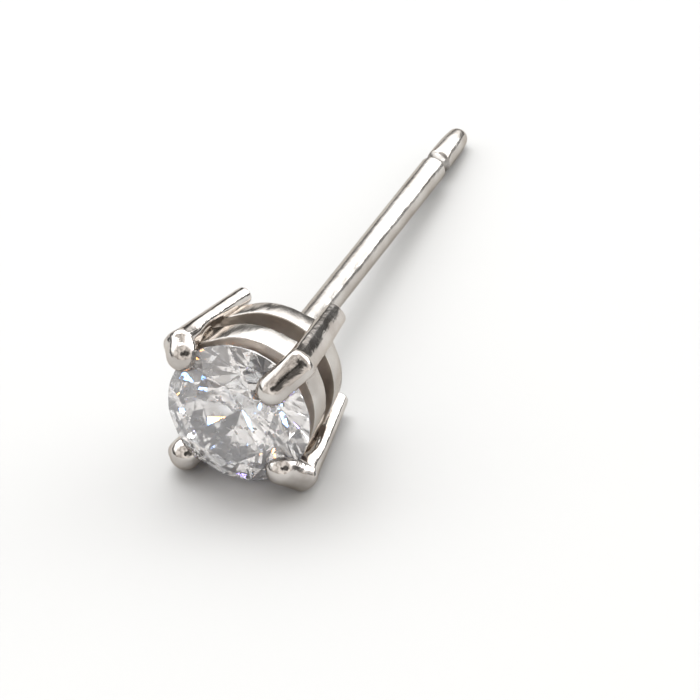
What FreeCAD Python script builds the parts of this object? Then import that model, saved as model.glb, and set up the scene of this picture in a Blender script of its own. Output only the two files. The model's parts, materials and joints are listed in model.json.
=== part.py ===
import FreeCAD, Part
import math
import os

# One stud earring: a round brilliant stone held by four prongs on a two-ring basket, with a straight
# post. Lengths are millimetres. The head is built upright on its own axis, with the post below and the
# stone's table facing up, and is then laid down the way the loose stud rests on a flat surface.

V = FreeCAD.Vector

# ---- stone ---------------------------------------------------------------------------------------
stone_diameter = 4.0
table_share = 0.57              # table width across corners, of the stone's diameter
crown_angle = 34.0              # slope of the eight kite facets
star_share = 0.50               # how far the star facets reach from the table's edge to the girdle
girdle_height = 0.10
pavilion_angle = 41.0           # slope of the eight long facets underneath
lower_half_share = 0.77         # how far the lower half facets reach from the girdle to the centre
culet_radius = 0.03
facet_turn = 8.0                # degrees the facet pattern is turned from the first prong gap

# ---- prongs --------------------------------------------------------------------------------------
prong_count = 4
prong_width = 0.78              # around the stone
prong_depth = 0.50              # towards the stone, along the leg
prong_edge_round = 0.20
prong_foot_bevel = 0.06
prong_foot_overhang = 0.12      # outer face beyond the stone's edge, at the prong's lower end
prong_bend_overhang = 0.75      # the same where the prong turns over the stone
prong_bend_below_girdle = 0.06
head_depth = 0.74               # the thicker head that the stone's seat is cut into
head_length = 0.75
claw_rise = 49.0                # slope of the claw's outer face, in degrees from the table's plane
claw_length = 0.71              # along the outer face, from the bend to the middle of the ball end
claw_ball_radius = 0.44

# ---- basket --------------------------------------------------------------------------------------
bridge_bottom, bridge_top = 0.84, 1.30                  # the cross under the stone carries the post
bridge_width = 0.70
bridge_hub_radius = 0.72
culet_room = 0.50               # between the cross and the stone's point
rail_thickness = 0.50
rail_edge_round = 0.06
lower_rail_bottom, lower_rail_top = 0.78, 1.50
lower_rail_inset, lower_rail_flare = 0.20, 0.075        # inside the stone's edge at the bottom, growth upward
upper_rail_height, upper_rail_below_girdle = 0.84, 0.58
upper_rail_inset, upper_rail_flare = 0.10, 0.03
lug_shoulder = 0.03             # how much wider than a prong the metal is that joins it to a rail

# ---- post ----------------------------------------------------------------------------------------
post_diameter = 0.75
post_tip_level = -12.60         # below the prongs' lower ends
post_tip_radius = 0.30
groove_level = -10.65           # where the clutch clicks in
groove_depth = 0.10
groove_length = 0.46
bulb_slack = 0.025              # how much slimmer than the post the bulb behind the groove is
post_foot_flare = 0.12          # solder fillet where the post meets the cross

# ---- fits ----------------------------------------------------------------------------------------
setting_clearance = 0.03        # air between the stone and the metal that holds it

# ---- sizes that follow from those ----------------------------------------------------------------
stone_radius = stone_diameter / 2
pavilion_depth = (stone_radius - culet_radius) * math.tan(math.radians(pavilion_angle))
girdle_level = bridge_top + culet_room + pavilion_depth + girdle_height / 2
prong_foot_radius = stone_radius + prong_foot_overhang
prong_bend_radius = stone_radius + prong_bend_overhang
prong_bend_level = girdle_level - prong_bend_below_girdle
prong_turns = [360.0 / prong_count * (i + 0.5) for i in range(prong_count)]
lower_rail_radius = stone_radius - lower_rail_inset
upper_rail_radius = stone_radius - upper_rail_inset
upper_rail_top = girdle_level - upper_rail_below_girdle
upper_rail_bottom = upper_rail_top - upper_rail_height


def one_solid(shape):
    """The single solid a shape is made of, or an error if it fell apart."""
    if len(shape.Solids) != 1:
        raise ValueError("expected one solid, found %d" % len(shape.Solids))
    return shape.Solids[0]


def polar(radius, degrees, level):
    a = math.radians(degrees)
    return V(radius * math.cos(a), radius * math.sin(a), level)


def keep_below(solid, point, normal):
    """The part of the solid on the inner side of a flat facet."""
    size = 4 * stone_diameter
    block = Part.makeBox(size, size, size, V(-size / 2, -size / 2, -size))
    turn = FreeCAD.Rotation(V(0, 0, 1), normal)
    block.Placement = FreeCAD.Placement(point, turn)
    return solid.common(block)


def facet_through(a, b, c, centre):
    """A facet plane through three points, as a point and a normal that leads away from the centre."""
    normal = (b - a).cross(c - a)
    normal.normalize()
    if normal.dot(a - centre) < 0:
        normal = normal * -1
    return a, normal


def brilliant_facets():
    """Every flat facet of the stone, table up, with the girdle's middle at level 0."""
    r, top, bottom = stone_radius, girdle_height / 2, -girdle_height / 2
    centre = V(0, 0, 0)
    table_radius = table_share * r
    table_level = top + (r - table_radius) * math.tan(math.radians(crown_angle))
    half = math.cos(math.radians(22.5))
    star_radius = table_radius * half + star_share * (r - table_radius * half)
    star_level = top + (r - star_radius * half) * math.tan(math.radians(crown_angle))
    lower_radius = (1 - lower_half_share) * r
    lower_level = bottom - (r - lower_radius * half) * math.tan(math.radians(pavilion_angle))
    culet_level = bottom - pavilion_depth

    facets = [(V(0, 0, table_level), V(0, 0, 1)), (V(0, 0, culet_level), V(0, 0, -1))]
    for i in range(8):
        at = facet_turn + 45.0 * i
        for sign, level, angle in ((1, top, crown_angle), (-1, bottom, pavilion_angle)):
            slope = math.radians(angle)
            outward = polar(math.sin(slope), at, sign * math.cos(slope))
            facets.append((polar(r, at, level), outward))
        between = at + 22.5
        facets.append(facet_through(polar(table_radius, at, table_level),
                                    polar(table_radius, at + 45.0, table_level),
                                    polar(star_radius, between, star_level), centre))
        for side in (at, at + 45.0):
            facets.append(facet_through(polar(star_radius, between, star_level),
                                        polar(r, side, top), polar(r, between, top), centre))
            facets.append(facet_through(polar(lower_radius, between, lower_level),
                                        polar(r, side, bottom), polar(r, between, bottom), centre))
    return facets


def brilliant(grow):
    """The faceted stone in place, with every face moved outward by the given amount."""
    reach = 2 * stone_diameter
    solid = Part.makeCylinder(stone_radius + grow, reach, V(0, 0, -reach / 2))
    for point, normal in brilliant_facets():
        solid = keep_below(solid, point + normal * grow, normal)
    solid.translate(V(0, 0, girdle_level))
    return one_solid(solid)


def rounded_bar(length, depth, start, direction):
    """A prong-wide bar in the XZ plane, its outer face running from the start point along the direction."""
    bar = Part.makeBox(depth, prong_width, length, V(-depth, -prong_width / 2, 0))
    long_edges = [e for e in bar.Edges if abs(e.tangentAt(e.FirstParameter).z) > 0.99]
    bar = bar.makeFillet(prong_edge_round, long_edges)
    tilt = math.degrees(math.atan2(direction.x, direction.z))
    bar.Placement = FreeCAD.Placement(start, FreeCAD.Rotation(V(0, 1, 0), tilt))
    return bar


def prong():
    """One prong at turn 0: a straight leg, a thicker head, and a mitred bend into a ball-ended claw."""
    foot = V(prong_foot_radius, 0, 0)
    bend = V(prong_bend_radius, 0, prong_bend_level)
    rise = math.radians(claw_rise)
    leg_way = (bend - foot).normalize()
    claw_way = V(-math.cos(rise), 0, math.sin(rise))
    claw_out = V(math.sin(rise), 0, math.cos(rise))
    ball_centre = bend + claw_way * claw_length - claw_out * claw_ball_radius
    mitre = (leg_way + claw_way).normalize()

    leg = rounded_bar((bend - foot).Length - head_length / 2, prong_depth, foot, leg_way)
    foot_rim = [e for e in leg.Edges if all(v.Point.sub(foot).dot(leg_way) < 1e-6 for v in e.Vertexes)]
    leg = leg.makeChamfer(prong_foot_bevel, foot_rim)
    head = rounded_bar(head_length + head_depth, head_depth, bend - leg_way * head_length, leg_way)
    head = keep_below(head, bend, mitre)
    claw = rounded_bar(claw_length + head_depth, head_depth, bend - claw_way * head_depth, claw_way)
    claw = keep_below(claw, bend, mitre * -1)
    return leg.fuse([head, claw, Part.makeSphere(claw_ball_radius, ball_centre)])


def rail(bottom, top, radius, flare):
    """One band of the basket, a little wider at the top than at the bottom."""
    inside = radius - rail_thickness
    outer = Part.makeCone(radius, radius + flare, top - bottom, V(0, 0, bottom))
    rims = [e for e in outer.Edges if e.Curve.TypeId == "Part::GeomCircle"]
    outer = outer.makeFillet(rail_edge_round, rims)
    return outer.cut(Part.makeCone(inside, inside + flare, top - bottom, V(0, 0, bottom)))


def prong_middle(level):
    """How far the middle of a prong's leg is from the axis at a level."""
    share = level / prong_bend_level
    return prong_foot_radius + share * (prong_bend_radius - prong_foot_radius) - prong_depth / 2


def lug(bottom, top, radius):
    """The block of metal at turn 0 that joins a rail to its prong."""
    inside = radius - rail_thickness * 0.8
    reach = prong_middle((bottom + top) / 2) - inside
    edge = rail_edge_round * 2
    width = prong_width + 2 * lug_shoulder
    return Part.makeBox(reach, width, top - bottom - 2 * edge, V(inside, -width / 2, bottom + edge))


def bridge():
    """The cross under the stone, from prong to prong, with a round hub for the post."""
    reach = prong_middle(bridge_bottom)
    thick = bridge_top - bridge_bottom
    arm = Part.makeBox(2 * reach, bridge_width, thick, V(-reach, -bridge_width / 2, bridge_bottom))
    hub = Part.makeCylinder(bridge_hub_radius, thick, V(0, 0, bridge_bottom))
    arms = []
    for turn in prong_turns[:2]:
        turned = arm.copy()
        turned.rotate(V(0, 0, 0), V(0, 0, 1), turn)
        arms.append(turned)
    return hub.fuse(arms)


def post():
    """The turned post: a flared foot, a plain shaft, the clutch groove and a slimmer, tapered tip."""
    r = post_diameter / 2
    foot = r + post_foot_flare
    top = (bridge_bottom + bridge_top) / 2
    flare_start = bridge_bottom - 2 * post_foot_flare
    groove_start, groove_end = groove_level + groove_length / 2, groove_level - groove_length / 2
    bulb = r - bulb_slack
    tip_centre = post_tip_level + post_tip_radius
    diagonal = math.sqrt(0.5)

    corners = [V(0, 0, top), V(foot, 0, top), V(foot, 0, bridge_bottom), V(r, 0, flare_start),
               V(r, 0, groove_start), V(bulb, 0, groove_end), V(post_tip_radius, 0, tip_centre),
               V(0, 0, post_tip_level)]
    flare_middle = V(r + post_foot_flare * 0.25, 0, bridge_bottom - post_foot_flare * 0.75)
    groove_middle = V(r - groove_depth, 0, groove_level)
    tip_middle = V(post_tip_radius * diagonal, 0, tip_centre - post_tip_radius * diagonal)
    bulges = [None, None, flare_middle, None, groove_middle, None, tip_middle, None]

    outline = []
    for start, bulge, end in zip(corners, bulges, corners[1:] + corners[:1]):
        curve = Part.Arc(start, bulge, end) if bulge else Part.LineSegment(start, end)
        outline.append(curve.toShape())
    return Part.Face(Part.Wire(outline)).revolve(V(0, 0, 0), V(0, 0, 1), 360)


def setting():
    """All the metal in one soldered solid, with the stone's seat cut out of it."""
    lower = lower_rail_bottom, lower_rail_top, lower_rail_radius
    upper = upper_rail_bottom, upper_rail_top, upper_rail_radius
    pieces = [rail(*upper, upper_rail_flare), bridge(), post()]
    for turn in prong_turns:
        for piece in (prong(), lug(*lower), lug(*upper)):
            piece.rotate(V(0, 0, 0), V(0, 0, 1), turn)
            pieces.append(piece)
    metal = rail(*lower, lower_rail_flare).fuse(pieces)
    return one_solid(metal.cut(brilliant(setting_clearance)).removeSplitter())


def resting_tilt(metal, centre_level):
    """How far the post end leans down when the stud lies on two prongs, in degrees from level.

    The side view's lower outline is a row of straight spans between the points it could rest on, and the
    stud rests on the span under its centre of mass.
    """
    points = sorted({(round(p.z, 5), round(p.y, 5)) for p in metal.tessellate(0.004)[0]})
    hull = []
    for point in points:
        while len(hull) > 1:
            (z0, y0), (z1, y1) = hull[-2], hull[-1]
            if (z1 - z0) * (point[1] - y0) - (y1 - y0) * (point[0] - z0) > 0:
                break
            hull.pop()
        hull.append(point)
    for (z0, y0), (z1, y1) in zip(hull, hull[1:]):
        if z0 <= centre_level <= z1:
            print("rests between levels", z0, "and", z1)
            return math.degrees(math.atan2(y0 - y1, z1 - z0))
    raise ValueError("the stud has nothing to rest on")


def lay_down(shape, tilt):
    """Turn an upright shape so that its table faces -Y and its lower side lies along the floor."""
    shape.rotate(V(0, 0, 0), V(1, 0, 0), 90.0 - tilt)
    return shape


metal = setting()
stone = brilliant(0.0)
weights = ((metal, 13.5), (stone, 3.5))     # white gold and diamond, mg per cubic mm
weight = sum(solid.Volume * density for solid, density in weights)
centre_level = sum(solid.CenterOfMass.z * solid.Volume * density for solid, density in weights) / weight
tilt = resting_tilt(metal, centre_level)

nodes = {"setting": lay_down(metal, tilt), "stone": lay_down(stone, tilt)}
skin = [p for shape in nodes.values() for p in shape.tessellate(0.004)[0]]
low = V(min(p.x for p in skin), min(p.y for p in skin), min(p.z for p in skin))
high = V(max(p.x for p in skin), max(p.y for p in skin), max(p.z for p in skin))
home = V(-(low.x + high.x) / 2, -(low.y + high.y) / 2, -low.z)

os.makedirs("parts", exist_ok=True)
for name, shape in nodes.items():
    shape.translate(home)
    shape.exportStep("parts/%s.step" % name)
    print(name, "valid", shape.isValid(), "volume", round(shape.Volume, 3))

post_way = FreeCAD.Rotation(V(1, 0, 0), 90.0 - tilt).multVec(V(0, 0, -1))
print("tilt", round(tilt, 4), "mass g", round(weight / 1000, 4), "centre level", round(centre_level, 3))
print("head origin", [round(c, 4) for c in home], "post axis", [round(c, 6) for c in post_way])
print("box", [round(c, 4) for c in high - low])
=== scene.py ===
# %% [markdown]
# # A stud earring
# A loose stud earring lies on a white table: a round brilliant stone in a basket of four claws and two
# bands, on a straight post with a groove for the clutch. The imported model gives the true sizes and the
# place of every part. The lesson loads it, builds the polished metal and the cut stone over it, and then
# sets up the table, the camera and the light.

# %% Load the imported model
import json
import math
import random

import bmesh
import bpy
from mathutils import Matrix, Vector


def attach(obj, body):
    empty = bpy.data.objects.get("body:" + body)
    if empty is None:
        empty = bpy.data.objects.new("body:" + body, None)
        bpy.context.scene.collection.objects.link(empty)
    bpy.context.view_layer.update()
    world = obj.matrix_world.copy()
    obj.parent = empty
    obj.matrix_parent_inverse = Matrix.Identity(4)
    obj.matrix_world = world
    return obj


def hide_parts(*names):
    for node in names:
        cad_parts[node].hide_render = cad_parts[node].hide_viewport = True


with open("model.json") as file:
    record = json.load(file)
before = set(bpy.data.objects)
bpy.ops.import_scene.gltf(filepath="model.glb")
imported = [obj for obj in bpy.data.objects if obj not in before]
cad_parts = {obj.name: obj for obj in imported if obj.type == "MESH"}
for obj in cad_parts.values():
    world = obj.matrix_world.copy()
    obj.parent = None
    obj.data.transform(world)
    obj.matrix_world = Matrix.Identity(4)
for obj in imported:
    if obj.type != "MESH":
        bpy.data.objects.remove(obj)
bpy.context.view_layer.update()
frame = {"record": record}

# %% [markdown]
# ## Where the stud's own axis lies
# The stud rests on two claws and the tip of its post, so its axis leans a little. Everything on it was
# turned or cut around that axis, and it is easiest to build it the same way: upright, in millimetres, with
# the post below and the stone on top, and to lay each finished piece down with one matrix. The post's mount
# in the record gives the axis, and the middle of the post's plain wall is a known way behind the claws' feet.

# %% The matrix that lays an upright piece down
mm = 0.001
post_mount = frame["record"]["mounts"][0]
post_way = Vector(post_mount["axis"]).normalized()
post_middle_level = -4.91
claw_feet = Vector(post_mount["pos_m"]) + post_way * post_middle_level * mm
table_way = -post_way
up_way = Vector((1, 0, 0)).cross(table_way).normalized() * -1
lay_down = Matrix.Translation(claw_feet) @ Matrix((
    (1, up_way.x, table_way.x), (0, up_way.y, table_way.y), (0, up_way.z, table_way.z))).to_4x4()
lay_down = lay_down @ Matrix.Scale(mm, 4)
print("the axis leans", round(math.degrees(math.asin(table_way.z)), 2), "degrees, feet at",
      [round(c * 1000, 2) for c in claw_feet])

# %% [markdown]
# ## One helper for every piece
# A shape is drawn upright as a bmesh. The place goes into the mesh and not into the object, so every object
# stays at the origin and the patterns of the materials stay put.


# %% Points on a turn, and the helper that finishes a piece
def polar(radius, degrees, level):
    a = math.radians(degrees)
    return Vector((radius * math.cos(a), radius * math.sin(a), level))


def place_piece(name, bm, material, crisp_from=None):
    """Turns an upright bmesh in millimetres into a finished object lying in its place."""
    bmesh.ops.recalc_face_normals(bm, faces=bm.faces)
    bmesh.ops.transform(bm, matrix=lay_down, verts=bm.verts)
    for face in bm.faces:
        face.smooth = crisp_from is not None
    if crisp_from is not None:
        for edge in bm.edges:
            edge.smooth = edge.calc_face_angle(0.0) < math.radians(crisp_from)
    mesh = bpy.data.meshes.new(name)
    bm.to_mesh(mesh)
    bm.free()
    piece = bpy.data.objects.new(name, mesh)
    bpy.context.scene.collection.objects.link(piece)
    mesh.materials.append(material)
    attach(piece, "root")
    print(name, len(mesh.polygons), "faces")
    return piece


# %% [markdown]
# ## Polished white gold
# The setting is white gold that a jeweller filed, bent and polished by hand. A metal has no colour of its
# own besides its mirror, so the colour is the tint of the mirror, slightly warm. What makes it look handmade
# is that the mirror is never flat: a wide, shallow wave from the file, drawn out along the post, and fine
# scratches on top. Both are noise read in object space and turned into bump, so they stay on the metal.
# The faces inside the basket stay rougher, since a buffing wheel can't reach in there, and they get a darker,
# brownish tint that is painted shade for the shade inside the basket: the same recipe with a darker tint and
# more roughness. The bands still show the file most. The post is drawn wire, straighter and a little duller,
# with a satin groove whose darker tint is painted shade.


# %% Two helpers for marks in a surface
def noise(nodes, links, where, scale, detail, stretch=(1, 1, 1)):
    """Noise on a stretched place: small numbers in stretch draw the marks out that way."""
    mapping = nodes.new("ShaderNodeMapping")
    mapping.inputs["Scale"].default_value = stretch
    links.new(where, mapping.inputs["Vector"])
    made = nodes.new("ShaderNodeTexNoise")
    made.inputs["Scale"].default_value = scale
    made.inputs["Detail"].default_value = detail
    links.new(mapping.outputs["Vector"], made.inputs["Vector"])
    return made.outputs["Fac"]


def bump(nodes, links, height, distance, below=None):
    """Turns a height pattern into a tilt of the surface, on top of the marks below it."""
    made = nodes.new("ShaderNodeBump")
    made.inputs["Strength"].default_value = 1.0
    made.inputs["Distance"].default_value = distance
    links.new(height, made.inputs["Height"])
    if below is not None:
        links.new(below, made.inputs["Normal"])
    return made.outputs["Normal"]


# %% [markdown]
# One recipe makes every finish of the gold. It stacks three marks, each finer and shallower than the one
# below: wide waves, the chatter of tools, and hair scratches. The tint wanders between two tones and the
# roughness between two values, so no patch is quite like the next. A tint below white at grazing angles
# keeps the bright table from burning out the edges. Scales count marks per metre, and depths are in metres.

# %% The recipe of one gold finish
tint_patches, gloss_patches = 1100, 2500
wave_size, chatter_size, scratch_size = 900, 3200, 9000
usual_wave_depth, chatter_depth, scratch_depth = 0.00006, 0.000014, 0.000005
grazing_tint = (0.72, 0.67, 0.62, 1)


def white_gold_finish(name, dark_tint, light_tint, smoothest, roughest, wave_depth=usual_wave_depth):
    """A metal with two tints, two roughnesses and three layers of tool marks."""
    material = bpy.data.materials.new(name)
    material.use_nodes = True
    nodes, links = material.node_tree.nodes, material.node_tree.links
    shader = nodes["Principled BSDF"]
    shader.inputs["Metallic"].default_value = 1.0
    shader.inputs["Specular Tint"].default_value = grazing_tint
    where = nodes.new("ShaderNodeTexCoord").outputs["Object"]
    tint = nodes.new("ShaderNodeValToRGB")
    tint.color_ramp.elements[0].position, tint.color_ramp.elements[1].position = 0.35, 0.65
    tint.color_ramp.elements[0].color = (*dark_tint, 1)
    tint.color_ramp.elements[1].color = (*light_tint, 1)
    links.new(noise(nodes, links, where, tint_patches, 3), tint.inputs["Fac"])
    links.new(tint.outputs["Color"], shader.inputs["Base Color"])
    gloss = nodes.new("ShaderNodeMapRange")
    gloss.inputs["To Min"].default_value = smoothest
    gloss.inputs["To Max"].default_value = roughest
    links.new(noise(nodes, links, where, gloss_patches, 4, (1, 0.4, 1)), gloss.inputs["Value"])
    links.new(gloss.outputs["Result"], shader.inputs["Roughness"])
    waves = noise(nodes, links, where, wave_size, 2, (1, 0.15, 1))
    chatter = noise(nodes, links, where, chatter_size, 3, (1, 0.5, 1))
    scratches = noise(nodes, links, where, scratch_size, 2, (1, 0.12, 1))
    waved = bump(nodes, links, waves, wave_depth)
    chattered = bump(nodes, links, chatter, chatter_depth, waved)
    links.new(bump(nodes, links, scratches, scratch_depth, chattered), shader.inputs["Normal"])
    print(name, "roughness", smoothest, "to", roughest)
    return material


# %% [markdown]
# Five finishes come out of it. Each gets its dark and light tint, its smoothest and roughest value and,
# where the file or the drawing plate leaves a mark of its own, the depth of its waves.

# %% The five finishes of white gold
white_gold = white_gold_finish(
    "polished white gold", (0.49, 0.458, 0.43), (0.65, 0.622, 0.595), 0.04, 0.20)
filed_gold = white_gold_finish(
    "filed white gold", (0.47, 0.445, 0.42), (0.63, 0.61, 0.585), 0.08, 0.26, 0.00013)
drawn_gold = white_gold_finish(
    "drawn white gold", (0.50, 0.47, 0.44), (0.62, 0.60, 0.575), 0.12, 0.27, 0.00002)
# The satin finish is a darker copy of the drawn one. Its rougher surface is real, and its lower tint is
# painted shade for the groove.
satin_gold_with_painted_shade = white_gold_finish(
    "satin white gold with painted shade", (0.33, 0.315, 0.30), (0.44, 0.425, 0.41), 0.22, 0.40)
# The unpolished finish is a darker, browner copy of the polished one. Its tint is painted shade for the faces
# inside the basket, and its higher roughness is the real unbuffed surface.
unpolished_gold_with_painted_shade = white_gold_finish(
    "unpolished white gold with painted shade", (0.38, 0.325, 0.275), (0.50, 0.44, 0.385), 0.28, 0.48)

# %% [markdown]
# ## Diamond
# A cut stone is clear, bends light more than anything else in a home, and sends most of what enters back out
# at the top. A real transmitting shader with diamond's index of 2.42 does that by itself. This stone is
# lightly clouded by tiny inclusions, so a small share of the light is scattered instead of passed through,
# more where a noise says that the stone is cloudy.

# %% Material: diamond
diamond_index, diamond_tint = 2.42, (0.96, 0.965, 0.97, 1)
cloudiest, clearest, cloud_patches = 0.86, 0.96, 1800


def clouded_diamond():
    """Clear diamond that scatters a little of the light where it is cloudy."""
    material = bpy.data.materials.new("clouded diamond")
    material.use_nodes = True
    nodes, links = material.node_tree.nodes, material.node_tree.links
    shader = nodes["Principled BSDF"]
    shader.inputs["Base Color"].default_value = diamond_tint
    shader.inputs["Roughness"].default_value = 0.0
    shader.inputs["IOR"].default_value = diamond_index
    where = nodes.new("ShaderNodeTexCoord").outputs["Object"]
    clear = nodes.new("ShaderNodeMapRange")
    clear.inputs["To Min"].default_value = cloudiest
    clear.inputs["To Max"].default_value = clearest
    links.new(noise(nodes, links, where, cloud_patches, 5), clear.inputs["Value"])
    links.new(clear.outputs["Result"], shader.inputs["Transmission Weight"])
    return material


diamond = clouded_diamond()
print(diamond.name, "bends light by", diamond_index, "and passes", cloudiest, "to", clearest, "of it")

# %% [markdown]
# ## The stone
# A round brilliant is ground flat facet by flat facet on a turning wheel: a table, eight stars, eight kites
# and sixteen halves above the girdle, eight mains and sixteen halves below. The same can be done here: start
# with a plain cylinder and slice it with one plane for each facet. The facets then meet in true points,
# which no hand-typed list of corners gets right so easily.

# %% The stone's proportions
stone_radius = 2.0
girdle_level, girdle_height = 3.5625, 0.10
table_share, star_share, lower_half_share = 0.57, 0.50, 0.77
crown_slope, pavilion_slope = math.radians(34), math.radians(41)
culet_radius = 0.03
facet_turn = 8.0
print("a round stone of", 2 * stone_radius, "mm, table", table_share, "of its width")

# %% [markdown]
# Every facet is a plane, and a plane needs a point on it and the way it faces. The mains follow from their
# slope alone. Stars and halves are found from three corners that they must pass through, and those corners
# lie on the mains, at the shares given above.


# %% The planes of all the facets
def plane_through(a, b, c):
    """The plane of three corners, facing away from the stone's middle."""
    normal = (b - a).cross(c - a).normalized()
    return a, normal if normal.dot(a) > 0 else -normal


def brilliant_facets(r):
    """Every facet as a point on it and the way it faces, around the middle of the girdle."""
    top, bottom = girdle_height / 2, -girdle_height / 2
    half = math.cos(math.radians(22.5))
    table_radius = table_share * r
    table_level = top + (r - table_radius) * math.tan(crown_slope)
    star_radius = table_radius * half + star_share * (r - table_radius * half)
    star_level = top + (r - star_radius * half) * math.tan(crown_slope)
    lower_radius = (1 - lower_half_share) * r
    lower_level = bottom - (r - lower_radius * half) * math.tan(pavilion_slope)
    culet_level = bottom - (r - culet_radius) * math.tan(pavilion_slope)
    facets = [(Vector((0, 0, table_level)), Vector((0, 0, 1))),
              (Vector((0, 0, culet_level)), Vector((0, 0, -1)))]
    for i in range(8):
        at, between = facet_turn + 45 * i, facet_turn + 45 * i + 22.5
        facets.append((polar(r, at, top), polar(math.sin(crown_slope), at, math.cos(crown_slope))))
        facets.append((polar(r, at, bottom),
                       polar(math.sin(pavilion_slope), at, -math.cos(pavilion_slope))))
        facets.append(plane_through(polar(table_radius, at, table_level),
                                    polar(table_radius, at + 45, table_level),
                                    polar(star_radius, between, star_level)))
        for side in (at, at + 45):
            facets.append(plane_through(polar(star_radius, between, star_level),
                                        polar(r, side, top), polar(r, between, top)))
            facets.append(plane_through(polar(lower_radius, between, lower_level),
                                        polar(r, side, bottom), polar(r, between, bottom)))
    return facets


# %% [markdown]
# Grinding one facet is a slice by its plane: what lies outside is thrown away, and a new face closes the
# cut. The whole stone can also be made a little larger all round by moving every plane out, and the claws
# need that later as the cutter of their seats.


# %% Grind the round brilliant
def grind(bm, point, normal):
    """Slices away everything outside one flat facet and closes the cut."""
    cut = bmesh.ops.bisect_plane(bm, geom=[*bm.verts, *bm.edges, *bm.faces], dist=1e-6,
                                 plane_co=point, plane_no=normal, clear_outer=True)
    rim = [g for g in cut["geom_cut"] if isinstance(g, bmesh.types.BMEdge)]
    if len(rim) > 2:
        bmesh.ops.edgenet_fill(bm, edges=rim)


def cut_stone(grow):
    """The upright stone, every facet moved out by grow."""
    bm = bmesh.new()
    bmesh.ops.create_cone(bm, cap_ends=True, segments=160, radius1=stone_radius + grow,
                          radius2=stone_radius + grow, depth=8)
    for point, normal in brilliant_facets(stone_radius):
        grind(bm, point + normal * grow, normal)
    bmesh.ops.translate(bm, vec=(0, 0, girdle_level), verts=bm.verts)
    return bm


stone = place_piece("stone_brilliant", cut_stone(0.0), diamond)
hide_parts("stone")

# %% [markdown]
# The stone isn't perfect: small pale feathers lie inside it, where the crystal is cracked. Each is a flat,
# lightly crumpled flake that lets some light through.


# %% Material: pale feather
def pale_feather():
    """A whitish, half clear material for cracks inside the stone."""
    material = bpy.data.materials.new("pale feather")
    material.use_nodes = True
    nodes, links = material.node_tree.nodes, material.node_tree.links
    shader = nodes["Principled BSDF"]
    shader.inputs["Roughness"].default_value = 0.35
    shader.inputs["Transmission Weight"].default_value = 0.45
    shader.inputs["IOR"].default_value = 1.3
    where = nodes.new("ShaderNodeTexCoord").outputs["Object"]
    tint = nodes.new("ShaderNodeValToRGB")
    tint.color_ramp.elements[0].color = (0.72, 0.69, 0.64, 1)
    tint.color_ramp.elements[1].color = (0.97, 0.97, 0.98, 1)
    links.new(noise(nodes, links, where, 6000, 3), tint.inputs["Fac"])
    links.new(tint.outputs["Color"], shader.inputs["Base Color"])
    return material


# %% [markdown]
# The flakes are scattered by chance, always in the same way, deeper ones nearer to the axis so that none
# leaves the cone of the stone. Eighty are enough, because the facets mirror every one of them many times
# over and so break up the large calm patches that a flawless stone would show.

# %% Feathers inside the stone
feather_count, feather_sizes, feather_depths = 80, (0.015, 0.10), (0.12, 1.15)
flake_widths, flake_thickness, flake_crumple = (0.35, 0.9), 0.08, 0.12
skin = 0.25


def feathers_upright():
    """Small crumpled flakes, each turned and placed by chance inside the stone."""
    draw = random.Random(7)
    bm = bmesh.new()
    for _ in range(feather_count):
        size = draw.uniform(*feather_sizes)
        flake = bmesh.ops.create_icosphere(bm, subdivisions=1, radius=size)["verts"]
        bmesh.ops.scale(bm, vec=(1, draw.uniform(*flake_widths), flake_thickness), verts=flake)
        for vert in flake:
            vert.co += Vector([draw.uniform(-flake_crumple, flake_crumple) * size for _ in range(3)])
        around = Matrix.Rotation(draw.uniform(0, 6.3), 3, "Z")
        turn = around @ Matrix.Rotation(draw.uniform(0, 3.1), 3, "X")
        bmesh.ops.rotate(bm, cent=(0, 0, 0), matrix=turn, verts=flake)
        depth = draw.uniform(*feather_depths)
        reach = (stone_radius - skin - depth * 1.15) * math.sqrt(draw.uniform(0.05, 1))
        spot = polar(max(0.05, reach), draw.uniform(0, 360), girdle_level + skin - depth)
        bmesh.ops.translate(bm, vec=spot, verts=flake)
    return bm


place_piece("stone_feathers", feathers_upright(), pale_feather(), 60)

# %% [markdown]
# ## The claws
# Each prong is one bar of white gold that stands beside the basket, thickens towards the top, is bent over
# the edge of the stone and ends in a rounded claw. It is modelled the way it is drawn out: one rounded
# rectangle is extruded from station to station along the bar, and subdivision softens it afterwards. The
# stations are written in the flat plane of one prong, outer line first.

# %% The lines of one prong
foot_width, head_width = 0.66, 0.82
foot_depth, head_depth = 0.50, 0.74
foot_out = Vector((2.12, 0, 0.0))
bend_out = Vector((2.75, 0, 3.5025))
claw_rise = math.radians(49)
ball_radius, ball_along, bend_radius = 0.44, 0.71, 0.45
softening_loss = 0.045
swell_from, swell_over = 2.3, 0.9
leg_way = (bend_out - foot_out).normalized()
leg_in = Vector((-leg_way.z, 0, leg_way.x))
claw_way = Vector((-math.cos(claw_rise), 0, math.sin(claw_rise)))
claw_in = Vector((-claw_way.z, 0, claw_way.x))
leg_length = (bend_out - foot_out).length
ball_centre = bend_out + claw_way * ball_along + claw_in * ball_radius
print("leg", round(leg_length, 2), "mm long, ball centre at",
      round(ball_centre.x, 2), round(ball_centre.z, 2))

# %% [markdown]
# A station is the place, tilt and size of one cross-section. Each is kept as a matrix that lays a unit
# square across the bar, so drawing the bar out is only a step from one matrix to the next. The leg widens
# and thickens on its way up.


# %% The stations of the leg
def station(outer, inner, width):
    """The matrix that puts a unit square across the bar between an outer and an inner point."""
    across = outer - inner
    spare = across.cross(Vector((0, 1, 0))).normalized()
    m = Matrix((across, Vector((0, width, 0)), spare)).transposed().to_4x4()
    return Matrix.Translation((outer + inner) / 2) @ m


def eased(share):
    """A share that leaves 0 and reaches 1 gently, and stays there outside."""
    share = min(1.0, max(0.0, share))
    return share * share * (3 - 2 * share)


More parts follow.
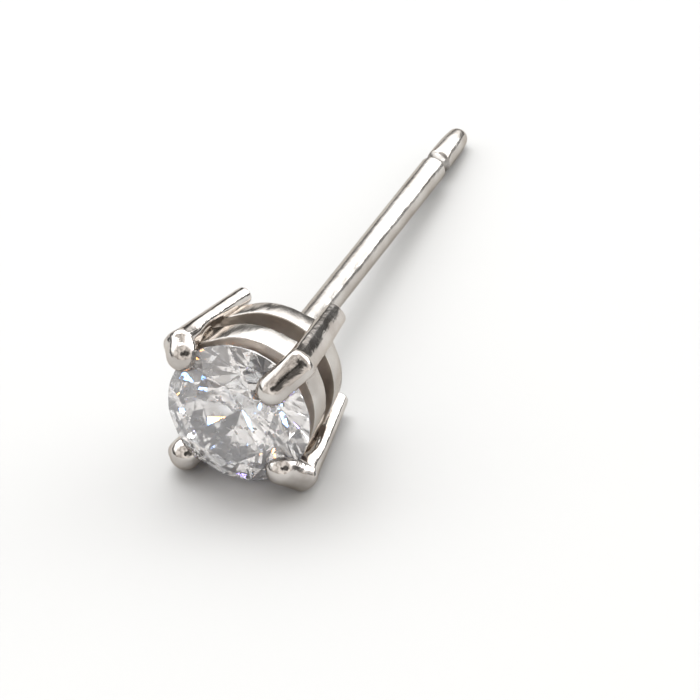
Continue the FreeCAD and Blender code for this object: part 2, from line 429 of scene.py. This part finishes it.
def leg_station(along, shrink=0.0):
    """Across the straight leg, so far along it, drawn in by shrink all round."""
    swell = eased((along - swell_from) / swell_over)
    outer = foot_out + leg_way * along
    inner = outer + leg_in * (foot_depth + (head_depth - foot_depth) * swell)
    width = foot_width + (head_width - foot_width) * along / leg_length
    return station(outer + leg_in * shrink, inner - leg_in * shrink, width - 2 * shrink)


# %% [markdown]
# The bend follows an arc, and the last stations close in like the end of a ball. Stations that lie close
# together hold a shape tight when subdivision softens the bar. The arc is drawn a little proud, because
# softening takes that much off again.

# %% The stations of the bend and the claw
bend_thins_to, bend_widens_to = 0.9, 1.04
neck_along, neck_widens_to = 0.50, 1.03


def ball_station(angle, reach_on):
    """Across the rounded end, at an angle that runs from its middle (0) to its tip (90)."""
    a = math.radians(angle)
    centre = ball_centre + reach_on + claw_way * ball_radius * math.sin(a)
    reach = ball_radius * math.cos(a)
    return station(centre - claw_in * reach, centre + claw_in * reach, 2 * reach)


def bend_stations():
    """Across the bend the outer line follows an arc, so the metal looks bent and not folded."""
    half_turn = math.acos(leg_way.dot(claw_way)) / 2
    centre = bend_out + (leg_in + claw_in).normalized() * bend_radius / math.cos(half_turn)
    made = []
    for share in (0.0, 0.25, 0.5, 0.75, 1.0):
        inwards = leg_in.lerp(claw_in, share).normalized()
        outer = centre - inwards * (bend_radius + softening_loss * math.sin(math.pi * share))
        made.append(station(outer, outer + inwards * head_depth * bend_thins_to,
                            head_width * bend_widens_to))
    return made


def prong_stations(reach_on):
    """All the stations of one bar, from its foot to the tip of its claw."""
    stations = [leg_station(0.0, 0.08), leg_station(0.02, 0.03), leg_station(0.06), leg_station(0.14)]
    stations += [leg_station(along) for along in (1.2, 2.2, 2.6, 2.95)]
    stations += bend_stations()
    neck = bend_out + claw_way * neck_along + reach_on * 0.5
    stations.append(station(neck, neck + claw_in * ball_radius * 1.9, head_width * neck_widens_to))
    return stations + [ball_station(angle, reach_on) for angle in (0, 22, 44, 64, 82)]


# %% [markdown]
# The bar is drawn out like dough through a row of frames: a square with bevelled corners is extruded, and
# each new end is moved from its own frame to the next. A file would then ease the end onto a ball, and
# pulling its points towards a sphere does the same. It fades in along the claw, so no step is left.

# %% Extrude the bar and round its claw
corner_rounding = 0.40
rounding_before_ball, rounding_over, roundness = 0.46, 0.50, 0.85


def extrude_along(bm, stations, corner):
    """Draws a rounded unit square out through all the stations, then closes both ends."""
    bmesh.ops.create_grid(bm, x_segments=1, y_segments=1, size=0.5)
    bmesh.ops.bevel(bm, geom=bm.verts[:], offset=corner, offset_type="OFFSET", segments=3, profile=0.5,
                    affect="VERTICES", material=-1)
    bmesh.ops.transform(bm, matrix=stations[0], verts=bm.verts)
    face = bm.faces[:][0]
    for before, after in zip(stations, stations[1:]):
        grown = bmesh.ops.extrude_face_region(bm, geom=[face])["geom"]
        if before is not stations[0]:
            bmesh.ops.delete(bm, geom=[face], context="FACES_ONLY")
        face = next(g for g in grown if isinstance(g, bmesh.types.BMFace))
        bmesh.ops.transform(bm, matrix=after @ before.inverted(), verts=face.verts)


def round_the_claw(bm, reach_on):
    """Eases the end of the bar out onto a ball, as the file leaves it."""
    ball = ball_centre + reach_on
    ball_at = (ball - bend_out).dot(claw_way)
    for vert in bm.verts:
        along = (vert.co - bend_out).dot(claw_way)
        ease = eased((along - ball_at + rounding_before_ball) / rounding_over)
        middle = ball + claw_way * min(0.0, along - ball_at)
        on_ball = middle + (vert.co - middle).normalized() * ball_radius
        vert.co = vert.co.lerp(on_ball, roundness * ease)


# %% [markdown]
# A claw is not only bent over the stone: its underside is filed to the stone's own facets, so it sits flush.
# A Boolean that takes a slightly larger stone out of the finished bar makes that seat. The large stone and
# the bar are both scratch objects, and only the resulting mesh is kept. The claws were bent by hand, one by
# one, so each reaches a little more or less far over the crown than the others: every prong gets its own
# reach and its own cut.

# %% Cut the seats and stand the prongs around the stone
seat_gap = 0.03
over_crown = Vector((-math.cos(crown_slope), 0, math.sin(crown_slope)))
claw_reach = {45: 0.38, 135: -0.20, 225: -0.30, 315: 0.16}


def scratch_object(bm):
    """An object that only lives until its modifiers are worked out."""
    bmesh.ops.recalc_face_normals(bm, faces=bm.faces)
    mesh = bpy.data.meshes.new("scratch")
    bm.to_mesh(mesh)
    bm.free()
    made = bpy.data.objects.new("scratch", mesh)
    bpy.context.scene.collection.objects.link(made)
    return made


def seated_prong(turn, longer):
    """The mesh of one prong with its seat, turned to its place around the stone."""
    reach_on = over_crown * longer
    bar = bmesh.new()
    extrude_along(bar, prong_stations(reach_on), corner_rounding)
    bmesh.ops.subdivide_edges(bar, edges=bar.edges, cuts=1, use_grid_fill=True)
    round_the_claw(bar, reach_on)
    around = Matrix.Rotation(math.radians(turn), 3, "Z")
    bmesh.ops.rotate(bar, cent=(0, 0, 0), matrix=around, verts=bar.verts)
    prong, cutter = scratch_object(bar), scratch_object(cut_stone(seat_gap))
    soften = prong.modifiers.new("soften", "SUBSURF")
    soften.levels = soften.render_levels = 2
    seat = prong.modifiers.new("seat", "BOOLEAN")
    seat.operation, seat.solver, seat.object = "DIFFERENCE", "EXACT", cutter
    finished = prong.evaluated_get(bpy.context.evaluated_depsgraph_get())
    mesh = bpy.data.meshes.new_from_object(finished)
    for scratch in (prong, cutter):
        drawn = scratch.data
        bpy.data.objects.remove(scratch)
        bpy.data.meshes.remove(drawn)
    return mesh


def prongs_upright():
    """All four prongs in one mesh."""
    bm = bmesh.new()
    for turn, longer in claw_reach.items():
        mesh = seated_prong(turn, longer)
        bm.from_mesh(mesh)
        bpy.data.meshes.remove(mesh)
        print("prong at", turn, "degrees, claw", longer, "mm longer than the mean")
    return bm


prongs = place_piece("claw_prongs", prongs_upright(), white_gold, 38)
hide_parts("setting")

# %% [markdown]
# ## The two bands
# Two rings of flat wire hold the four prongs together. Each is a rounded rectangle spun once around the
# axis, which is how a lathe would make it. Where a ring meets a prong the solder has drawn it up into a
# small fillet, so the ring swells outwards and lengthwise there: its rows of vertices are eased out towards
# each prong after the spin.

# %% Spin the bands and draw out their solder fillets
solder_reach, solder_out, solder_along, solder_hollow = 25.0, 0.16, 0.10, 2.2
band_thickness, band_edge = 0.50, 0.06
lower_band = {"bottom": 0.78, "top": 1.50, "radius": 1.80, "flare": 0.075}
upper_band = {"bottom": 2.1425, "top": 2.9825, "radius": 1.90, "flare": 0.03}


def band(bm, bottom, top, radius, flare):
    """One ring from a rounded section, swollen by solder where the four prongs cross it."""
    made = bmesh.ops.create_grid(bm, x_segments=1, y_segments=1, size=0.5)["verts"]
    bmesh.ops.scale(bm, vec=(band_thickness, top - bottom, 1), verts=made)
    upright = Matrix.Rotation(math.radians(90), 3, "X")
    bmesh.ops.rotate(bm, cent=(0, 0, 0), matrix=upright, verts=made)
    bmesh.ops.translate(bm, vec=(radius - band_thickness / 2, 0, (bottom + top) / 2), verts=made)
    for vert in made:
        vert.co.x += flare * (vert.co.z > (bottom + top) / 2)
    bmesh.ops.bevel(bm, geom=made, offset=band_edge, offset_type="OFFSET", segments=3, profile=0.5,
                    affect="VERTICES", material=-1)
    ring = {v for v in bm.verts
            if abs(v.co.y) < 1e-6 and v.co.x > 0 and bottom - 0.01 < v.co.z < top + 0.01}
    loop = {e for e in bm.edges if e.verts[0] in ring and e.verts[1] in ring}
    bmesh.ops.delete(bm, geom=[f for f in bm.faces if all(v in ring for v in f.verts)],
                     context="FACES_ONLY")
    before = set(bm.verts) - ring
    bmesh.ops.spin(bm, geom=list(loop) + list(ring), cent=(0, 0, 0), axis=(0, 0, 1),
                   angle=math.tau, steps=180, use_merge=True)
    middle_radius, middle_level = radius - band_thickness / 2, (bottom + top) / 2
    for vert in set(bm.verts) - before:
        turn = math.degrees(math.atan2(vert.co.y, vert.co.x))
        off = abs(turn % 90 - 45)
        ease = max(0.0, 1 - off / solder_reach) ** solder_hollow
        out = Vector((vert.co.x, vert.co.y, 0)).normalized()
        if vert.co.xy.length > middle_radius:
            vert.co += out * solder_out * ease
        vert.co.z += math.copysign(solder_along, vert.co.z - middle_level) * ease


def bands_upright():
    """The lower and the upper band in one mesh."""
    bm = bmesh.new()
    band(bm, **lower_band)
    band(bm, **upper_band)
    return bm


bands = place_piece("basket_bands", bands_upright(), filed_gold, 30)

# %% [markdown]
# The faces that look at the stone and in towards the axis stay unpolished and rougher, and their darker brown
# tint is painted shade. A face can be picked by the way it points: along the axis, or back towards it.

# %% Give the faces inside the basket their rough finish and painted shade
# These two limits pick the faces that get the painted shade of the darker brown finish.
faces_the_stone, faces_inwards = 0.9, -0.3
bands.data.materials.append(unpolished_gold_with_painted_shade)
unbuffed_painted_shade_faces = 0
for face in bands.data.polygons:
    out = face.center - claw_feet
    out -= table_way * out.dot(table_way)
    inwards = face.normal.dot(out.normalized()) < faces_inwards
    if face.normal.dot(table_way) > faces_the_stone or inwards:
        face.material_index = 1
        unbuffed_painted_shade_faces += 1
# The count is of the faces that carry the painted shade and the rough finish.
print(unbuffed_painted_shade_faces, "faces of the bands are out of the buffing wheel's reach")

# %% [markdown]
# ## The post and the cross that carries it
# The post is drawn wire with a turned groove near its end, where the clutch snaps in, and a rounded tip that
# finds the hole in the ear. Turned work is one outline spun around the axis: it starts inside the hub,
# sweeps down to the wire through a small fillet of solder, dips into the groove, and swells to a bulb that
# the clutch has to pass. Inside the basket two crossed bars carry the post, with a round hub where they meet.

# %% Turn the post
post_radius, groove_level, groove_depth, groove_half = 0.375, -10.65, 0.10, 0.23
groove_steps, groove_steepness = 12, 0.45
bulb_over_tip, bulb_edge = 0.05, 0.05
tip_radius, tip_level = 0.30, -12.30
hub_bottom, hub_top = 0.84, 1.30


def post_upright():
    """The outline from the hub to the tip, spun once around."""
    r = post_radius
    outline = [(0, hub_top), (r + 0.12, hub_top), (r + 0.12, hub_bottom), (r + 0.05, 0.76),
               (r + 0.015, 0.68), (r, 0.60), (r, groove_level + groove_half)]
    for step in range(1, groove_steps):
        along = step / groove_steps
        depth = groove_depth * math.sin(math.pi * along) ** groove_steepness
        outline.append((r - 0.03 * along - depth * (1 - 0.15 * along),
                        groove_level + groove_half * (1 - 2 * along)))
    bulb, groove_end = tip_radius + bulb_over_tip, groove_level - groove_half
    outline += [(bulb - 0.008, groove_end), (bulb, groove_end - bulb_edge),
                (bulb, -11.3), (0.34, -11.8), (0.32, -12.1), (0.306, -12.24)]
    for angle in range(6, 90, 7):
        on_tip = polar(tip_radius, angle, 0)
        outline.append((on_tip.x, tip_level - on_tip.y))
    outline.append((0, tip_level - tip_radius))
    bm = bmesh.new()
    verts = [bm.verts.new((x, 0, z)) for x, z in outline]
    edges = [bm.edges.new(pair) for pair in zip(verts, verts[1:])]
    bmesh.ops.spin(bm, geom=verts + edges, cent=(0, 0, 0), axis=(0, 0, 1),
                   angle=math.tau, steps=72, use_merge=True)
    bmesh.ops.remove_doubles(bm, verts=bm.verts, dist=1e-5)
    return bm


post = place_piece("post", post_upright(), drawn_gold, 40)

# %% [markdown]
# The cutter that turns the groove leaves it satin and rougher, and no wheel is thin enough to polish it. Its
# darker tint is painted shade in the groove. The faces between the groove's two ends get that finish.

# %% Give the groove its satin finish and painted shade
post.data.materials.append(satin_gold_with_painted_shade)
for face in post.data.polygons:
    level = (face.center - claw_feet).dot(table_way) / mm
    face.material_index = int(abs(level - groove_level) < groove_half)
print(sum(face.material_index for face in post.data.polygons), "faces lie in the groove")

# %% [markdown]
# The cross is two bars of square wire and a short round hub. They are soldered into one on the real piece.
# Here they simply run into each other, since nothing shows of the joint, and their edges are broken a little
# so that they catch the light.

# %% Lay the two crossed bars under the stone
bar_length, bar_width, hub_radius, broken_edge = 3.7, 0.70, 0.72, 0.06


def cross_upright():
    """Two crossed bars and their hub, as high as the foot of the post."""
    bm = bmesh.new()
    depth = hub_top - hub_bottom
    for turn in (45, 135):
        made = bmesh.ops.create_cube(bm, size=1)["verts"]
        bmesh.ops.scale(bm, vec=(bar_length, bar_width, depth), verts=made)
        around = Matrix.Rotation(math.radians(turn), 3, "Z")
        bmesh.ops.rotate(bm, cent=(0, 0, 0), matrix=around, verts=made)
    bmesh.ops.create_cone(bm, cap_ends=True, segments=72, radius1=hub_radius, radius2=hub_radius,
                          depth=depth)
    sharp = [e for e in bm.edges if e.calc_face_angle(0.0) > math.radians(60)]
    bmesh.ops.bevel(bm, geom=sharp, offset=broken_edge, offset_type="OFFSET", segments=3, profile=0.5,
                    affect="EDGES", material=-1)
    bmesh.ops.translate(bm, vec=(0, 0, (hub_bottom + hub_top) / 2), verts=bm.verts)
    return bm


place_piece("cross", cross_upright(), white_gold, 30)

# %% [markdown]
# ## The table top
# The stud lies on a plain white surface. It is one large square, far wider than the object, so that the
# polished metal finds white all the way round when it mirrors the table. Its own colour is a middle grey:
# the light is strong enough to make it white in the picture, and a lighter table would burn out the metal.

# %% Floor
table_grey, half_table = (0.545, 0.55, 0.55, 1), 1.5


def pale_floor():
    """The table top, which belongs to the stage and not to the stud."""
    material = bpy.data.materials.new("pale table")
    material.use_nodes = True
    shader = material.node_tree.nodes["Principled BSDF"]
    shader.inputs["Base Color"].default_value = table_grey
    shader.inputs["Roughness"].default_value = 0.7
    shader.inputs["Specular IOR Level"].default_value = 0.2
    bm = bmesh.new()
    bmesh.ops.create_grid(bm, x_segments=1, y_segments=1, size=half_table)
    mesh = bpy.data.meshes.new("floor")
    bm.to_mesh(mesh)
    bm.free()
    floor = bpy.data.objects.new("floor", mesh)
    bpy.context.scene.collection.objects.link(floor)
    mesh.materials.append(material)
    print("table", 2 * half_table, "m wide")


pale_floor()

# %% [markdown]
# ## The camera
# A long lens from about sixteen centimetres away, looking down on the stone from the front right. The camera
# is placed by its azimuth and elevation around a point beside the stud, and rolled a little.

# %% Camera
target = Vector((1.4704, -3.5488, 1.5604)) * mm
azimuth, elevation, roll = math.radians(24.38), math.radians(36.50), math.radians(-4.70)
distance, lens_length = 0.165, 319.4
back = Vector((math.sin(azimuth) * math.cos(elevation), -math.cos(azimuth) * math.cos(elevation),
               math.sin(elevation)))
camera_data = bpy.data.cameras.new("camera")
camera = bpy.data.objects.new("camera", camera_data)
bpy.context.scene.collection.objects.link(camera)
camera.location = target + back * distance
level_view = back.to_track_quat("Z", "Y").to_matrix()
camera.rotation_euler = (level_view @ Matrix.Rotation(roll, 3, "Z")).to_euler()
camera_data.lens = lens_length
camera_data.clip_start = 0.005
camera_data.clip_end = 10
bpy.context.scene.camera = camera
print("camera", [round(c * 1000, 1) for c in camera.location], "mm, lens", camera_data.lens)

# %% [markdown]
# ## The studio
# Polished metal shows nothing but the room. A jeweller's light tent is bright overhead and behind, has a dark
# strip low at the back where the tent ends, and is a dimmer warm grey on the viewer's side. That strip is
# what draws the dark lines along the post, and the grey is what models the claws. The world makes it all from
# the height and the bearing of each direction. Both go through ramps, and two helpers make those shorter.

# %% Helpers for the room
scene = bpy.context.scene
scene.view_settings.view_transform = "Standard"


def ramp_between(nodes, stops):
    """A ramp that runs gently through the given places and greys."""
    made = nodes.new("ShaderNodeValToRGB")
    made.color_ramp.interpolation = "EASE"
    while len(made.color_ramp.elements) < len(stops):
        made.color_ramp.elements.new(0.5)
    for element, (place, grey) in zip(made.color_ramp.elements, stops):
        element.position = place
        element.color = (*grey, 1) if isinstance(grey, tuple) else (grey, grey, grey, 1)
    return made


def toward(nodes, links, direction, bearing):
    """How far each direction points the given way, from -1 to 1."""
    made = nodes.new("ShaderNodeVectorMath")
    made.operation = "DOT_PRODUCT"
    made.inputs[1].default_value = bearing
    links.new(direction, made.inputs[0])
    return made.outputs["Value"]


# %% [markdown]
# The tent is three layers. The first goes by height, from the dark strip up to white. The second is the warm
# grey of the viewer's side, mottled so that the metal has something to mirror, and laid over the first where
# a direction points that way. The third is two dark spots, as of the openings that someone looks and
# reaches through, and they show as small dark marks on the claws.

# %% The room as a world
tent_strength = 2.8
tent_by_height = [(0.0, 0.03), (0.16, 0.05), (0.41, 0.95), (0.8, 1.0)]
viewer_side, viewer_greys = (0.36, -0.80, 0.48), [(0.38, (0.19, 0.178, 0.167)), (0.62, (0.46, 0.44, 0.42))]
dark_spots = [((0.332, -0.732, 0.595), 0.962, 0.985), ((0.70, -0.41, 0.577), 0.90, 0.965)]
spot_grey, clutter_size = 0.12, 2.6


def light_tent():
    """The light tent around the stud, drawn into the world's background."""
    world = bpy.data.worlds.new("light tent")
    world.use_nodes = True
    scene.world = world
    nodes, links = world.node_tree.nodes, world.node_tree.links
    background = nodes["Background"]
    direction = nodes.new("ShaderNodeTexCoord").outputs["Generated"]
    split = nodes.new("ShaderNodeSeparateXYZ")
    links.new(direction, split.inputs["Vector"])
    height = ramp_between(nodes, tent_by_height)
    links.new(split.outputs["Z"], height.inputs["Fac"])
    near_side = ramp_between(nodes, [(0.0, 0.0), (0.45, 1.0)])
    links.new(toward(nodes, links, direction, viewer_side), near_side.inputs["Fac"])
    clutter = nodes.new("ShaderNodeTexNoise")
    clutter.inputs["Scale"].default_value = clutter_size
    clutter.inputs["Detail"].default_value = 3
    links.new(direction, clutter.inputs["Vector"])
    warm_grey = ramp_between(nodes, viewer_greys)
    links.new(clutter.outputs["Fac"], warm_grey.inputs["Fac"])
    room = nodes.new("ShaderNodeMix")
    room.data_type = "RGBA"
    links.new(near_side.outputs["Color"], room.inputs["Factor"])
    links.new(height.outputs["Color"], room.inputs["A"])
    links.new(warm_grey.outputs["Color"], room.inputs["B"])
    tent = room.outputs["Result"]
    for bearing, first, last in dark_spots:
        shade = ramp_between(nodes, [(first, 1.0), (last, spot_grey)])
        links.new(toward(nodes, links, direction, bearing), shade.inputs["Fac"])
        darker = nodes.new("ShaderNodeMix")
        darker.data_type, darker.blend_type = "RGBA", "MULTIPLY"
        darker.inputs["Factor"].default_value = 1.0
        links.new(tent, darker.inputs["A"])
        links.new(shade.outputs["Color"], darker.inputs["B"])
        tent = darker.outputs["Result"]
    links.new(tent, background.inputs["Color"])
    background.inputs["Strength"].default_value = tent_strength
    print("light tent, strength", tent_strength, "with", len(dark_spots), "dark spots")


light_tent()

# %% [markdown]
# ## The lamps
# A large softbox above and behind to the left brightens the table and throws the soft shadow to the right. A
# low strip behind on the right brightens the post.


# %% The two softboxes
def softbox(name, place, aim, size, power, colour=(1, 1, 1)):
    """A square or long lamp in metres and watts, turned to look at a place."""
    data = bpy.data.lights.new(name, "AREA")
    data.shape = "RECTANGLE"
    data.size, data.size_y = size
    data.energy = power
    data.color = colour
    lamp = bpy.data.objects.new(name, data)
    scene.collection.objects.link(lamp)
    lamp.location = place
    lamp.rotation_euler = (Vector(place) - Vector(aim)).to_track_quat("Z", "Y").to_euler()
    print(name, "at", place)
    return lamp


softbox("overhead", (-0.08, 0.12, 0.30), (0, 0, 0), (0.22, 0.18), 0.45)
softbox("back strip", (0.20, 0.24, 0.10), (0, 0, 0), (0.20, 0.06), 0.15)

# %% [markdown]
# A diamond splits white light into sparks of white, blue, orange and violet. The renderer doesn't split
# light, so 24 small lamps in those colours are spread over the tent, and single facets catch one or another
# of them. They are hidden from plain surfaces and from mirrors, so only the light that passes through the
# stone shows them, and the metal and the table stay free of coloured dots.

# %% The sparks in the stone
spark_count, spark_size, spark_power, spark_distance = 24, 0.028, 0.034, 0.2
bearing_step, height_step, lowest_spark, spark_heights = 47, 29, 22, 60
spark_colours = [(1, 1, 1), (0.15, 0.4, 1.0), (1, 1, 1), (1.0, 0.32, 0.06), (1, 1, 1), (0.35, 0.25, 1.0)]
for number in range(spark_count):
    bearing = math.radians(bearing_step * number + 10)
    height = math.radians(lowest_spark + (number * height_step) % spark_heights)
    spot = Vector((math.cos(bearing) * math.cos(height), math.sin(bearing) * math.cos(height),
                   math.sin(height)))
    spark = softbox(f"spark {number + 1}", spot * spark_distance, (0, 0, 0), (spark_size, spark_size),
                    spark_power, spark_colours[number % len(spark_colours)])
    spark.visible_diffuse = spark.visible_glossy = False
